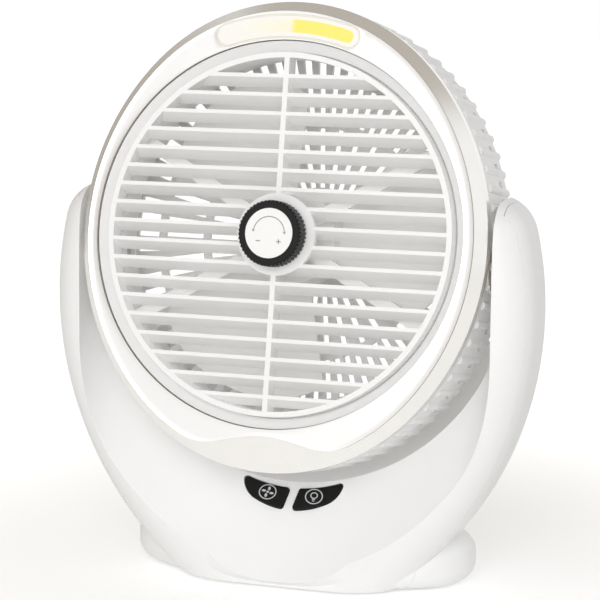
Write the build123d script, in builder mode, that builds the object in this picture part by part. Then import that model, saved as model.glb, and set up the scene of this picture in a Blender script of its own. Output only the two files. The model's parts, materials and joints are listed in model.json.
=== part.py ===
from build123d import *
from math import atan2, cos, degrees, radians, sin, sqrt
import os

# A rechargeable desk fan: a round head that tilts between the arms of a bowl-shaped base.
# Millimetres and degrees. +Z is up, the front faces -Y, and the origin lies on the table.
# Depths of the base are measured from the tilt axis. Places in the head are measured from the
# middle of the louvre wheel's front: x across, v up along the face, n out of the face.

# Shared clearances
overrun = 40.0
seam_gap = 0.3
running_fit = 0.05
body_gap = 0.4

# Tilt axis and how the head stands at rest
pivot_height = 140.0
pivot_depth = -10.0
rest_tilt = 10.8
louvre_lead = 23.0
louvre_rise = 10.8

# Base: outline of arms and apron, seen from the front
shell_wall = 2.6
shell_floor = 1.2
yoke_half_width = 109.0
yoke_widest_height = 123.0
yoke_arc_radius = 155.0
arm_tip_height = 172.0
arm_tip_round = 18.5
yoke_rim_round = 16.0
yoke_back = 27.0
apron_lead_at_floor = 21.0
apron_lead_at_pivot = 17.0

# Base: foot and neck
foot_half_width = 78.0
foot_half_depth = 41.0
foot_end_radius = 26.0
foot_centre = 16.0
foot_height = 22.0
foot_top_round = 9.0
foot_bottom_round = 8.0
neck_bottom = 8.0
neck_top = 60.0
neck_half_width = 58.5
neck_half_depth = 38.0
neck_end_radius = 28.0
neck_centre = 15.0

# Base: bowl behind the head, and the scoop in front of it
bowl_radius = 97.0
bowl_half_width = 93.5
bowl_cup_wall = 3.0
bowl_back = 58.0
bowl_rim_arm_depth = 20.0
bowl_rim_arm_height = 130.0
bowl_rim_back_height = 92.0
flare_back_lead = 1.0
flare_back_depth = 99.0
flare_front_lead = 31.0
flare_front_depth = 150.0
flare_half_depth = 46.0
flare_end_radius = 30.0
flare_reach = 150.0

# Base: seams between the shells
seam_lead = 10.0
bowl_seam_depth = 32.0

# Bottom plate, its bosses and screws, and the rubber feet
plate_half_width = 58.0
plate_half_depth = 24.0
plate_end_radius = 14.0
boss_radius = 6.5
boss_height = 9.0
boss_across = 50.0
boss_along = 8.0
small_screw_radius = 1.4
small_screw_head_radius = 2.6
small_screw_head_height = 1.4
bottom_screw_length = 7.0
rubber_radius = 3.4
rubber_across = 38.0
rubber_along = 21.8
rubber_sink = 0.8

# Shell screws, driven from behind
shell_boss_radius = 4.2
shell_boss_across = 48.0
shell_boss_height = 16.0
shell_screw_head_depth = 4.0
shell_screw_grip = 4.5
shell_screw_hole_radius = 3.1

# Buttons, switches and control board on the console
button_half_span = 23.0
button_top_end = 7.9
button_top_middle = 3.8
button_height = 13.8
button_end_radius = 11.0
button_split = 4.6
button_split_slant = 12.0
button_corner = 1.2
button_drop = 4.8
button_shift = 0.9
button_proud = 1.7
button_depth = 5.0
button_travel = 0.8
button_clearance = 0.35
button_edge_round = 0.6
switch_side = 6.0
switch_height = 3.4
switch_across = 11.0
switch_rise = 0.5
plunger_radius = 1.7
plunger_height = 1.0
board_width = 58.0
board_height = 12.0
board_drop = 1.5
board_thickness = 1.6
board_post_radius = 2.4
board_post_across = 26.2

# Battery cells and cradle
cell_radius = 9.1
cell_length = 65.0
cell_pitch = 20.5
cell_depth = 18.0
cradle_floor = 1.6
cradle_side = 7.0
cradle_end = 1.6
cradle_rib_radius_gap = 0.1

# Charging socket and its board, low on the back
socket_width = 9.0
socket_height = 3.3
socket_round = 1.5
socket_length = 7.4
socket_wall = 0.35
socket_z = 33.0
charge_board_width = 20.0
charge_board_length = 18.0
charge_board_thickness = 1.2
charge_board_gap = 1.2

# Tilt pivots
pin_radius = 4.0
pin_reach = 82.0
pin_flange_radius = 8.0
pin_flange_thickness = 2.5
washer_radius = 12.0
washer_thickness = 1.6
bush_radius = 6.5
bush_inner = 80.0
bush_outer = 90.0
trunnion_radius = 8.9

# Head: oval outlines and bezel
oval_centre = -0.9
oval_slimness = 9.0
oval_end_centre = 15.2
bezel_half_width = 91.2
face_half_width = 86.6
bezel_opening_radius = 82.5
bezel_top = -0.7
bezel_shoulder = -5.2
bezel_rear = -10.0
bezel_wall = 2.4
trim_thickness = 1.2
wave_centre_drop = 85.4
wave_lobe_drop = 90.2
wave_lobe_across = 29.0
wave_end_across = 39.0
wave_corner_round = 24.0
lip_start_drop = 83.6
lip_slope = 17.0

# Head: lamp
lens_radius = 88.3
lens_height = 9.2
lens_half_angle = 18.0
lens_thickness = 2.2
lamp_board_height = 8.0
lamp_board_thickness = 1.2
strip_height = 4.8
strip_thickness = 1.0
strip_end_angle = 18.0
strip_seam_angle = 1.2

# Head: housing and throat
housing_half_width = 90.2
housing_wall = 2.2
housing_rear = -32.0
flange_front = -8.0
throat_radius = 78.0
throat_wall = 2.0
cone_outer_radius = 82.2
cone_front = -1.0
cone_rear = -6.0
grille_boss_radius = 3.6
grille_boss_across = 56.0
grille_boss_rise = 67.8
grille_screw_length = 10.0

# Rear grille
grille_rim_rear = -46.0
grille_plate = 2.4
tooth_count = 72
tooth_radius = 2.1
tooth_sink = 0.9
rib_front = -16.5
dome_radius = 84.0
dome_depth = 11.5
dome_flat_radius = 21.0
motor_cup_wall = 2.6
motor_cup_front = -38.5
slot_count = 72
inner_slot_count = 36
slot_ring_radii = (24.0, 50.0, 53.0, 70.0, 73.0, 82.5)
slot_widths = (2.8, 2.8, 3.6)
side_slot_width = 3.0
side_slot_margin = 3.0

# Louvre wheel, spider and stud
louvre_radius = 77.3
louvre_ring_width = 2.3
louvre_depth = 8.0
slat_count = 18
slat_pitch = 8.0
slat_offset = -0.8
slat_thickness = 1.6
slat_run = 7.4
slat_drop = 3.6
slat_setback = 0.2
rib_width = 2.3
louvre_hub_radius = 17.5
louvre_hub_plate = 2.6
louvre_sleeve_radius = 6.0
spider_front = -9.6
spider_arm_width = 5.5
spider_arm_thickness = 3.0
spider_arm_setback = 1.4
spider_arm_angle = 30.0
spider_ring_width = 2.2
spider_ring_depth = 5.0
spider_hub_radius = 8.0
spider_hub_depth = 6.2
stud_radius = 3.0
stud_front = 6.2

# Knob
knob_radius = 14.0
knob_rear = 1.1
knob_front = 8.6
knob_groove_count = 48
knob_groove_radius = 0.5
knob_edge = 0.9
cap_radius = 10.6
cap_thickness = 1.5
insert_radius = 5.4
knob_washer_radius = 12.0
knob_washer_thickness = 0.7

# Blade wheel and motor
blade_count = 3
blade_tip_radius = 72.0
blade_root_radius = 17.0
blade_thickness = 1.6
blade_front = -19.0
blade_rise = 17.0
blade_half_sweep = 38.0
blade_sweep_shares = (-1.0, -0.55, 0.0, 0.55, 1.0)
blade_reach_shares = (0.84, 0.97, 1.0, 0.98, 0.9)
blade_first_angle = 4.0
rotor_hub_front = -17.0
rotor_hub_depth = 19.0
rotor_hub_radius = 20.5
rotor_hub_wall = 2.0
rotor_sleeve_radius = 4.5
rotor_sleeve_depth = 11.0
shaft_radius = 1.5
shaft_rear = -52.0
motor_front = -31.0
motor_radius = 13.9
bearing_radius = 4.0
bearing_height = 1.2

# Frames that the pieces are placed in
tilt = radians(rest_tilt)
facing = Vector(0, -cos(tilt), sin(tilt))
rising = Vector(0, sin(tilt), cos(tilt))
pivot = Vector(0, pivot_depth, pivot_height)
louvre_centre = pivot + facing * louvre_lead + rising * louvre_rise
head_plane = Plane(origin=louvre_centre, x_dir=(1, 0, 0), z_dir=facing)
head_axis = Axis(louvre_centre, facing)
head_profile_plane = Plane(origin=louvre_centre, x_dir=(1, 0, 0), z_dir=rising * -1)
head_side_plane = Plane(origin=louvre_centre, x_dir=rising, z_dir=(1, 0, 0))
pivot_plane = Plane(origin=pivot, x_dir=(0, 1, 0), z_dir=(1, 0, 0))

scoop_lip = Vector(0, pivot_depth - flare_back_lead, pivot_height - flare_back_depth)
scoop_foot = Vector(0, pivot_depth - flare_front_lead, pivot_height - flare_front_depth)
down_slope = (scoop_foot - scoop_lip).normalized()
console_normal = Vector(1, 0, 0).cross(down_slope * -1)
console_plane = Plane(origin=scoop_lip + down_slope * button_drop, x_dir=(1, 0, 0), z_dir=console_normal)

grille_rear = grille_rim_rear - dome_depth
motor_rear = grille_rear + grille_plate
foot_y = pivot_depth + foot_centre
seam_y = pivot_depth - seam_lead
floor_top = shell_floor + shell_wall
os.makedirs("parts", exist_ok=True)


def save(builder, name):
    """Label a finished piece and write it under its own name."""
    builder.part.label = name
    export_step(builder.part, "parts/" + name + ".step")


# Forms shared by the two shells of the base

def oval(half_width, half_depth, end_radius):
    """Face of an oval of four tangent arcs."""
    long = half_width - end_radius
    short = half_depth - end_radius
    drop = (long**2 - short**2) / (2 * short)
    reach = sqrt(long**2 + drop**2)
    x = long + end_radius * long / reach
    y = end_radius * drop / reach
    with BuildSketch() as face:
        with BuildLine():
            ThreePointArc((x, y), (0, half_depth), (-x, y))
            ThreePointArc((-x, y), (-half_width, 0), (-x, -y))
            ThreePointArc((-x, -y), (0, -half_depth), (x, -y))
            ThreePointArc((x, -y), (half_width, 0), (x, y))
        make_face()
    return face.sketch


def head_oval(half_width):
    """Face of the head's upright oval."""
    half_height = half_width + oval_slimness
    return oval(half_height, half_width, half_height - oval_end_centre).rotate(Axis.Z, 90)


def yoke_plate(inset):
    """Shield-shaped body of arms and apron, with every face moved in by inset."""
    radius = yoke_arc_radius - inset
    half_width = yoke_half_width - inset
    floor = shell_floor + inset
    top = arm_tip_height - inset
    lean = degrees(atan2(apron_lead_at_floor - apron_lead_at_pivot, pivot_height))
    front = Plane(
        origin=(0, pivot_depth - apron_lead_at_floor, 0),
        x_dir=(1, 0, 0),
        z_dir=Vector(0, -1, 0).rotate(Axis.X, -lean),
    )

    def half_at(height):
        return half_width - radius + sqrt(radius**2 - (height - yoke_widest_height) ** 2)

    with BuildPart() as plate:
        with BuildSketch(Plane.XZ.offset(-(pivot_depth + yoke_back - inset))) as outline:
            with BuildLine():
                for side in (-1, 1):
                    ThreePointArc(
                        (side * half_at(floor), floor),
                        (side * half_width, yoke_widest_height),
                        (side * half_at(top), top),
                    )
                Line((-half_at(floor), floor), (half_at(floor), floor))
                Line((-half_at(top), top), (half_at(top), top))
            make_face()
            fillet(outline.vertices().group_by(Axis.Y)[-1], arm_tip_round - inset)
        extrude(amount=yoke_back + apron_lead_at_floor + overrun)
        split(bisect_by=front.offset(-inset), keep=Keep.BOTTOM)
        front_rim = plate.faces().sort_by(Axis.Y)[0].edges().sort_by(Axis.Z)[1:]
        back_rim = plate.faces().sort_by(Axis.Y)[-1].edges().sort_by(Axis.Z)[1:]
        fillet(front_rim + back_rim, yoke_rim_round - inset)
    return plate.part


def foot_pad(inset):
    """Oval foot with a rounded edge."""
    outline = oval(foot_half_width - inset, foot_half_depth - inset, foot_end_radius - inset)
    with BuildPart() as pad:
        with BuildSketch(Plane.XY.offset(shell_floor + inset)):
            with Locations((0, foot_y)):
                add(outline)
        extrude(amount=foot_height - shell_floor - 2 * inset)
        fillet(pad.edges().group_by(Axis.Z)[-1], foot_top_round - inset)
        fillet(pad.edges().group_by(Axis.Z)[0], foot_bottom_round - inset)
    return pad.part


def neck_column(inset):
    """Column that carries the bowl on the foot."""
    outline = oval(neck_half_width - inset, neck_half_depth - inset, neck_end_radius - inset)
    with BuildPart() as column:
        with BuildSketch(Plane.XY.offset(neck_bottom)):
            with Locations((0, pivot_depth + neck_centre)):
                add(outline)
        extrude(amount=neck_top - neck_bottom)
        split(bisect_by=Plane(origin=pivot, z_dir=(0, 1, 0)), keep=Keep.TOP)
    return column.part


def bowl_hollow(inset):
    """Room in which the head tilts: a ball between the arms, open at the top."""
    half_width = bowl_half_width + inset
    with BuildPart() as hollow:
        with Locations(pivot):
            Sphere(bowl_radius + inset)
            Box(2 * half_width, 2 * (bowl_radius + overrun), 2 * (bowl_radius + overrun), mode=Mode.INTERSECT)
            Box(
                2 * half_width,
                2 * (bowl_radius + overrun),
                arm_tip_height - pivot_height + overrun,
                align=(Align.CENTER, Align.CENTER, Align.MIN),
            )
    return hollow.part


def bowl_cup():
    """Wall of the bowl behind the tilt axis, cut off at the back and down from the arms."""
    rim_fall = degrees(atan2(bowl_rim_arm_height - bowl_rim_back_height, bowl_back - bowl_rim_arm_depth))
    rim = Plane(
        origin=(0, pivot_depth + bowl_rim_arm_depth, bowl_rim_arm_height),
        x_dir=(1, 0, 0),
        z_dir=Vector(0, 0, 1).rotate(Axis.X, -rim_fall),
    )
    with BuildPart() as cup:
        with Locations(pivot):
            Sphere(bowl_radius + bowl_cup_wall)
        split(bisect_by=Plane(origin=pivot, z_dir=(0, 1, 0)), keep=Keep.TOP)
        split(bisect_by=Plane(origin=(0, pivot_depth + bowl_back, 0), z_dir=(0, 1, 0)), keep=Keep.BOTTOM)
        split(bisect_by=rim, keep=Keep.BOTTOM)
        split(bisect_by=Plane.XY.offset(bowl_rim_arm_height), keep=Keep.BOTTOM)
    return cup.part


def scoop(inset):
    """Scooped front of the base: an oval trough that runs down its slope from the bowl's lip."""
    half_width = bowl_half_width + inset
    trough = oval(half_width, flare_half_depth + inset, flare_end_radius + inset)
    with BuildPart() as flare:
        with BuildSketch(Plane(origin=scoop_lip, x_dir=(1, 0, 0), z_dir=down_slope)):
            with Locations((0, flare_half_depth)):
                add(trough)
                Rectangle(2 * half_width, flare_reach, align=(Align.CENTER, Align.MIN))
        extrude(amount=flare_reach, both=True)
    return flare.part


def front_zone(inset):
    """All that belongs to the front shell: the front, the scoop's wall and the bowl's wall."""
    bowl_wall = bowl_hollow(shell_wall + seam_gap + inset)
    scoop_wall = scoop(shell_wall + seam_gap + inset)
    with BuildPart() as zone:
        add(bowl_wall)
        split(
            bisect_by=Plane(origin=(0, pivot_depth + bowl_seam_depth + inset, 0), z_dir=(0, 1, 0)),
            keep=Keep.BOTTOM,
        )
        add(scoop_wall)
        with Locations((0, seam_y + inset, 0)):
            Box(
                2 * yoke_half_width + overrun,
                apron_lead_at_floor + overrun,
                2 * (arm_tip_height + overrun),
                align=(Align.CENTER, Align.MAX, Align.CENTER),
            )
    return zone.part


# Walls of the base in one form, before the seams part them
outer_plate = yoke_plate(0)
outer_foot = foot_pad(0)
outer_neck = neck_column(0)
outer_cup = bowl_cup()
inner_plate = yoke_plate(shell_wall)
inner_foot = foot_pad(shell_wall)
inner_neck = neck_column(shell_wall)
hollow = bowl_hollow(0)
hollow_wall = bowl_hollow(shell_wall)
flare = scoop(0)
flare_wall = scoop(shell_wall)
shell_bosses = [(side * shell_boss_across, shell_boss_height) for side in (-1, 1)]
plate_bosses = [(x * boss_across, foot_y + y * boss_along) for x in (-1, 1) for y in (-1, 1)]

with BuildPart() as cavity:
    add(inner_plate)
    add(inner_foot)
    add(inner_neck)
    add(hollow_wall, mode=Mode.SUBTRACT)
    add(flare_wall, mode=Mode.SUBTRACT)
    with BuildSketch(Plane.XZ.offset(-(pivot_depth + bowl_back))):
        with Locations(*shell_bosses):
            Circle(shell_boss_radius)
    extrude(amount=bowl_back + apron_lead_at_floor, mode=Mode.SUBTRACT)
    with BuildSketch(Plane.XY.offset(shell_floor)):
        with Locations(*plate_bosses):
            Circle(boss_radius)
    extrude(amount=shell_wall + boss_height, mode=Mode.SUBTRACT)

with BuildPart() as base_form:
    add(outer_plate)
    add(outer_foot)
    add(outer_neck)
    add(outer_cup)
    add(hollow, mode=Mode.SUBTRACT)
    add(flare, mode=Mode.SUBTRACT)
base_walls = base_form.part - cavity.part


# Button outlines, shared by the buttons and their holes

def button_outline(side, grow):
    """One half of the crescent under the head; side is -1 for the fan and 1 for the light."""
    sag = button_top_end - button_top_middle
    top_radius = (button_half_span**2 + sag**2) / (2 * sag)
    whole = oval(button_half_span + grow, button_height + grow, button_end_radius + grow)
    with BuildSketch() as outline:
        with Locations((0, button_top_end)):
            add(whole)
        with Locations((0, button_top_middle + top_radius)):
            Circle(top_radius - grow, mode=Mode.SUBTRACT)
        with Locations(Location((0, 0, 0), (0, 0, -button_split_slant))):
            Rectangle(button_split - 2 * grow, overrun, mode=Mode.SUBTRACT)
            Rectangle(
                button_half_span + overrun,
                overrun,
                align=(Align.MIN if side < 0 else Align.MAX, Align.CENTER),
                mode=Mode.SUBTRACT,
            )
        fillet(outline.vertices(), button_corner + grow)
    return outline.sketch.moved(Location((button_shift, 0, 0)))


fan_hole = button_outline(-1, button_clearance)
light_hole = button_outline(1, button_clearance)
plunger_top = -(button_depth + button_travel + button_clearance)
switch_base = plunger_top - plunger_height - switch_height

# Front shell: arms' fronts, apron, scoop with the button holes, bowl and pivot holes
front_part = front_zone(0)
with BuildPart() as base_front_shell:
    add(base_walls)
    add(front_part, mode=Mode.INTERSECT)
    with BuildSketch(console_plane.offset(switch_base)):
        with Locations((-board_post_across, -board_drop), (board_post_across, -board_drop)):
            Circle(board_post_radius)
    extrude(amount=-switch_base)
    with BuildSketch(console_plane.offset(switch_base)):
        add(fan_hole)
        add(light_hole)
    extrude(amount=overrun, mode=Mode.SUBTRACT)
    with BuildSketch(pivot_plane):
        Circle(pin_radius)
    extrude(amount=yoke_half_width - shell_wall, both=True, mode=Mode.SUBTRACT)
    with BuildSketch(Plane.XZ.offset(-seam_y)):
        with Locations(*shell_bosses):
            Circle(small_screw_radius)
    extrude(amount=shell_screw_grip, mode=Mode.SUBTRACT)
save(base_front_shell, "base_front_shell")

# Rear shell: backs of the arms, neck, foot, the bowl's rim and the charging hole
rear_part = front_zone(seam_gap)
socket_face = pivot_depth + neck_centre + neck_half_depth
plate_hole = oval(plate_half_width, plate_half_depth, plate_end_radius)
plate_outline = oval(plate_half_width - seam_gap, plate_half_depth - seam_gap, plate_end_radius - seam_gap)
with BuildPart() as base_rear_shell:
    add(base_walls)
    add(rear_part, mode=Mode.SUBTRACT)
    with BuildSketch(Plane.XY):
        with Locations((0, foot_y)):
            add(plate_hole)
    extrude(amount=floor_top, mode=Mode.SUBTRACT)
    with BuildSketch(Plane.XY.offset(floor_top)):
        with Locations(*plate_bosses):
            Circle(small_screw_radius)
    extrude(amount=bottom_screw_length - shell_wall, mode=Mode.SUBTRACT)
    with BuildSketch(Plane.XY.offset(shell_floor)):
        with Locations(*[(x * rubber_across, foot_y + y * rubber_along) for x in (-1, 1) for y in (-1, 1)]):
            Circle(rubber_radius)
    extrude(amount=rubber_sink, mode=Mode.SUBTRACT)
    with BuildSketch(Plane.XZ.offset(-(seam_y + seam_gap))):
        with Locations(*shell_bosses):
            Circle(small_screw_radius)
    extrude(amount=-(bowl_back + overrun), mode=Mode.SUBTRACT)
    with BuildSketch(Plane.XZ.offset(-(pivot_depth + shell_screw_head_depth))):
        with Locations(*shell_bosses):
            Circle(shell_screw_hole_radius)
    extrude(amount=-(bowl_back + overrun), mode=Mode.SUBTRACT)
    with BuildSketch(Plane.XZ.offset(-socket_face)):
        with Locations((0, socket_z)):
            RectangleRounded(socket_width, socket_height, socket_round)
    extrude(amount=socket_length, both=True, mode=Mode.SUBTRACT)
save(base_rear_shell, "base_rear_shell")

# Bottom plate and its screws
with BuildPart() as bottom_plate:
    with BuildSketch(Plane.XY.offset(shell_floor)):
        with Locations((0, foot_y)):
            add(plate_outline)
        with Locations(*plate_bosses):
            Circle(small_screw_radius, mode=Mode.SUBTRACT)
    extrude(amount=shell_wall)
    with BuildSketch(Plane.XY.offset(shell_floor)):
        with Locations(*plate_bosses):
            Circle(small_screw_head_radius)
    extrude(amount=small_screw_head_height, mode=Mode.SUBTRACT)
save(bottom_plate, "bottom_plate")

with BuildPart() as bottom_screws:
    with BuildSketch(Plane.XY.offset(shell_floor)):
        with Locations(*plate_bosses):
            Circle(small_screw_head_radius)
    extrude(amount=small_screw_head_height)
    with BuildSketch(Plane.XY.offset(shell_floor)):
        with Locations(*plate_bosses):
            Circle(small_screw_radius)
    extrude(amount=bottom_screw_length)
save(bottom_screws, "bottom_screws")

with BuildPart() as rubber_feet:
    with BuildSketch(Plane.XY):
        with Locations(*[(x * rubber_across, foot_y + y * rubber_along) for x in (-1, 1) for y in (-1, 1)]):
            Circle(rubber_radius)
    extrude(amount=shell_floor + rubber_sink)
save(rubber_feet, "rubber_feet")

# Screws that hold the shells together, deep in their wells at the back
with BuildPart() as shell_screws:
    with BuildSketch(Plane.XZ.offset(-(pivot_depth + shell_screw_head_depth + small_screw_head_height))):
        with Locations(*shell_bosses):
            Circle(small_screw_head_radius)
    extrude(amount=small_screw_head_height)
    with BuildSketch(Plane.XZ.offset(-(pivot_depth + shell_screw_head_depth))):
        with Locations(*shell_bosses):
            Circle(small_screw_radius)
    extrude(amount=shell_screw_head_depth + seam_lead + shell_screw_grip)
save(shell_screws, "shell_screws")


# Buttons: caps that slide in the console

def make_button(side, name):
    """One sprung button."""
    face = button_outline(side, 0)
    with BuildPart() as button:
        with BuildSketch(console_plane.offset(-button_depth)):
            add(face)
        extrude(amount=button_depth + button_proud)
        top = button.faces().sort_by(Axis(console_plane.origin, console_normal))[-1]
        fillet(top.edges(), button_edge_round)
    save(button, name)


make_button(-1, "fan_button")
make_button(1, "light_button")

# Switches and control board behind the buttons
with BuildPart() as tact_switches:
    with BuildSketch(console_plane.offset(switch_base)):
        with Locations((-switch_across, switch_rise), (switch_across, switch_rise)):
            Rectangle(switch_side, switch_side)
    extrude(amount=switch_height)
    with BuildSketch(console_plane.offset(switch_base + switch_height)):
        with Locations((-switch_across, switch_rise), (switch_across, switch_rise)):
            Circle(plunger_radius)
    extrude(amount=plunger_height)
save(tact_switches, "tact_switches")

with BuildPart() as control_board:
    with BuildSketch(console_plane.offset(switch_base)):
        with Locations((0, -board_drop)):
            Rectangle(board_width, board_height)
    extrude(amount=-board_thickness)
save(control_board, "control_board")

# Battery cells lie across the foot in a cradle on the bottom plate
cell_height = floor_top + cradle_floor + cell_radius
cell_places = [(pivot_depth + cell_depth + side * cell_pitch / 2, cell_height) for side in (-1, 1)]
with BuildPart() as battery_cells:
    with BuildSketch(Plane.YZ):
        with Locations(*cell_places):
            Circle(cell_radius)
    extrude(amount=cell_length / 2, both=True)
save(battery_cells, "battery_cells")

with BuildPart() as battery_cradle:
    with Locations((0, pivot_depth + cell_depth, floor_top)):
        Box(
            cell_length + 2 * (cradle_end + seam_gap),
            cell_pitch + 2 * cell_radius,
            cradle_floor + cradle_side,
            align=(Align.CENTER, Align.CENTER, Align.MIN),
        )
    with BuildSketch(Plane.YZ):
        with Locations(*cell_places):
            Circle(cell_radius + cradle_rib_radius_gap)
    extrude(amount=cell_length / 2 + seam_gap, both=True, mode=Mode.SUBTRACT)
save(battery_cradle, "battery_cradle")

# Charging socket through the back of the neck, on its own small board
with BuildPart() as charge_socket:
    with BuildSketch(Plane.XZ.offset(-socket_face)):
        with Locations((0, socket_z)):
            RectangleRounded(socket_width, socket_height, socket_round)
            RectangleRounded(
                socket_width - 2 * socket_wall,
                socket_height - 2 * socket_wall,
                socket_round - socket_wall,
                mode=Mode.SUBTRACT,
            )
    extrude(amount=socket_length)
    with BuildSketch(Plane.XZ.offset(-(socket_face - socket_length))):
        with Locations((0, socket_z)):
            RectangleRounded(socket_width, socket_height, socket_round)
    extrude(amount=socket_wall)
save(charge_socket, "charge_socket")

with BuildPart() as charge_board:
    with Locations((0, socket_face - shell_wall - charge_board_gap, socket_z - socket_height / 2)):
        Box(
            charge_board_width,
            charge_board_length,
            charge_board_thickness,
            align=(Align.CENTER, Align.MAX, Align.MAX),
        )
save(charge_board, "charge_board")

# Tilt pivots: flanged pins in the arms, washers beside the head
pin_seat = bowl_half_width + shell_wall
with BuildPart() as pivot_pins:
    for side in (-1, 1):
        with BuildSketch(pivot_plane.offset(side * pin_reach)):
            Circle(pin_radius)
        extrude(amount=side * (pin_seat - pin_reach))
        with BuildSketch(pivot_plane.offset(side * pin_seat)):
            Circle(pin_flange_radius)
        extrude(amount=side * pin_flange_thickness)
save(pivot_pins, "pivot_pins")

with BuildPart() as tilt_washers:
    for side in (-1, 1):
        with BuildSketch(pivot_plane.offset(side * bowl_half_width)):
            Circle(washer_radius)
            Circle(pin_radius, mode=Mode.SUBTRACT)
        extrude(amount=-side * washer_thickness)
save(tilt_washers, "tilt_washers")

with BuildPart() as tilt_bushes:
    for side in (-1, 1):
        with BuildSketch(pivot_plane.offset(side * bush_inner)):
            Circle(bush_radius)
            Circle(pin_radius + running_fit, mode=Mode.SUBTRACT)
        extrude(amount=side * (bush_outer - bush_inner))
save(tilt_bushes, "tilt_bushes")

# Head: trim ring with its waved lower edge
with BuildSketch() as trim_outline:
    with Locations((0, oval_centre)):
        add(head_oval(face_half_width))
    with BuildLine():
        Spline(
            (-wave_end_across, -wave_lobe_drop),
            (-wave_lobe_across, -wave_lobe_drop),
            (0, -wave_centre_drop),
            (wave_lobe_across, -wave_lobe_drop),
            (wave_end_across, -wave_lobe_drop),
            tangents=((1, 0), (1, 0)),
        )
        Polyline(
            (-wave_end_across, -wave_lobe_drop),
            (-wave_end_across, -face_half_width - overrun),
            (wave_end_across, -face_half_width - overrun),
            (wave_end_across, -wave_lobe_drop),
        )
    make_face(mode=Mode.SUBTRACT)
    fillet(trim_outline.vertices().sort_by(Axis.Y)[:2], wave_corner_round)
    Circle(bezel_opening_radius, mode=Mode.SUBTRACT)
lens_arc = Edge.make_circle(lens_radius, start_angle=90 - lens_half_angle, end_angle=90 + lens_half_angle)

with BuildPart() as trim_ring:
    with BuildSketch(head_plane.offset(bezel_top)):
        add(trim_outline.sketch)
        SlotArc(lens_arc, lens_height + 2 * seam_gap, mode=Mode.SUBTRACT)
    extrude(amount=trim_thickness)
save(trim_ring, "trim_ring")

# Head: bezel with its bevel, skirt and grip lip
with BuildPart() as trim_column:
    with BuildSketch(head_plane.offset(bezel_rear)):
        add(trim_outline.sketch)
    extrude(amount=bezel_top - bezel_rear)

with BuildPart() as lip_cut:
    with BuildSketch(head_side_plane):
        with BuildLine():
            Polyline(
                (-lip_start_drop, bezel_top),
                (-lip_start_drop - overrun, bezel_top - overrun * sin(radians(lip_slope))),
                (-lip_start_drop - overrun, bezel_top + overrun),
                (-lip_start_drop, bezel_top + overrun),
                close=True,
            )
        make_face()
    extrude(amount=bezel_half_width, both=True)
    add(trim_column.part, mode=Mode.SUBTRACT)

with BuildPart() as bezel_body:
    with BuildSketch(head_plane.offset(bezel_rear)):
        with Locations((0, oval_centre)):
            add(head_oval(bezel_half_width))
    extrude(amount=bezel_shoulder - bezel_rear)
    with BuildSketch(head_plane.offset(bezel_shoulder)):
        with Locations((0, oval_centre)):
            add(head_oval(bezel_half_width))
    with BuildSketch(head_plane.offset(bezel_top)):
        with Locations((0, oval_centre)):
            add(head_oval(face_half_width))
    loft(ruled=True)
    add(lip_cut.part, mode=Mode.SUBTRACT)
    with BuildSketch(head_plane.offset(bezel_rear)):
        with Locations((0, oval_centre)):
            add(head_oval(bezel_half_width - bezel_wall))
    extrude(amount=flange_front - bezel_rear + seam_gap, mode=Mode.SUBTRACT)
    with BuildSketch(head_plane.offset(bezel_rear)):
        Circle(bezel_opening_radius)
    extrude(amount=overrun, mode=Mode.SUBTRACT)
    with BuildSketch(head_plane.offset(bezel_rear)):
        SlotArc(lens_arc, lens_height + 2 * seam_gap)
    extrude(amount=overrun, mode=Mode.SUBTRACT)
save(bezel_body, "bezel")

# Head: lamp lens, its board and two strips of light
lens_front = bezel_top + trim_thickness
with BuildPart() as light_lens:
    with BuildSketch(head_plane.offset(lens_front)):
        SlotArc(lens_arc, lens_height)
    extrude(amount=-lens_thickness)
save(light_lens, "light_lens")

with BuildPart() as lamp_board:
    with BuildSketch(head_plane.offset(flange_front)):
        SlotArc(lens_arc, lamp_board_height)
    extrude(amount=lamp_board_thickness)
save(lamp_board, "lamp_board")


def make_strip(start_angle, end_angle, name):
    """One strip of lamps on the lamp board."""
    arc = Edge.make_circle(lens_radius, start_angle=90 + start_angle, end_angle=90 + end_angle)
    with BuildPart() as strip:
        with BuildSketch(head_plane.offset(flange_front + lamp_board_thickness)):
            SlotArc(arc, strip_height)
        extrude(amount=strip_thickness)
    save(strip, name)


strip_gap_angle = degrees((strip_height + seam_gap) / 2 / lens_radius)
make_strip(-strip_end_angle, strip_seam_angle - strip_gap_angle, "lamp_strip_yellow")
make_strip(strip_seam_angle + strip_gap_angle, strip_end_angle, "lamp_strip_white")

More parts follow.
